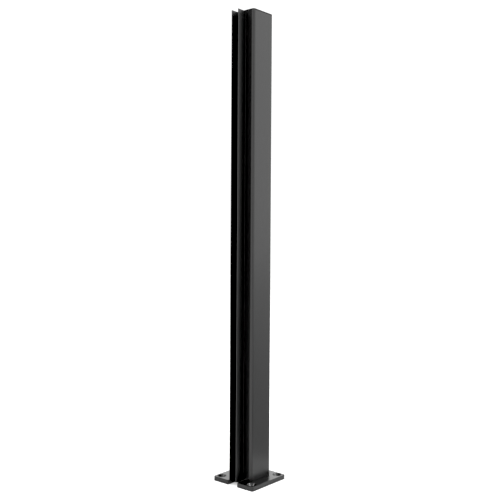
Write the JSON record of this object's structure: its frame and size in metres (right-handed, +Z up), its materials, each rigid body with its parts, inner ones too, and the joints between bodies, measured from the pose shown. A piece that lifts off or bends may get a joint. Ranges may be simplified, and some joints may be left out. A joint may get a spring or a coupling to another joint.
{
  "type": "panel barrier end post",
  "caption": "Bolt-down square post with a front channel that holds a panel's edge, a flush plug-in cap and a thick slotted base plate with countersunk corner holes.",
  "frame": {"origin": "centre of the base plate's underside, on the floor", "axes": "+Z up along the post; -Y out of the open front of the panel channel; X across the channel"},
  "size_m": [0.109, 0.109, 0.9906],
  "materials": {
    "post_powder_coat": "satin black polyester powder coat on extruded aluminium",
    "cap_powder_coat": "satin black polyester powder coat on cast aluminium",
    "plate_powder_coat": "satin black polyester powder coat on cut aluminium plate",
    "screw_steel": "plain stainless steel"
  },
  "bodies": {
    "root": {"post_extrusion": "post_powder_coat", "top_cap": "cap_powder_coat", "base_plate": "plate_powder_coat", "plate_screw_1": "screw_steel", "plate_screw_2": "screw_steel", "plate_screw_3": "screw_steel", "plate_screw_4": "screw_steel"}
  },
  "joints": []
}
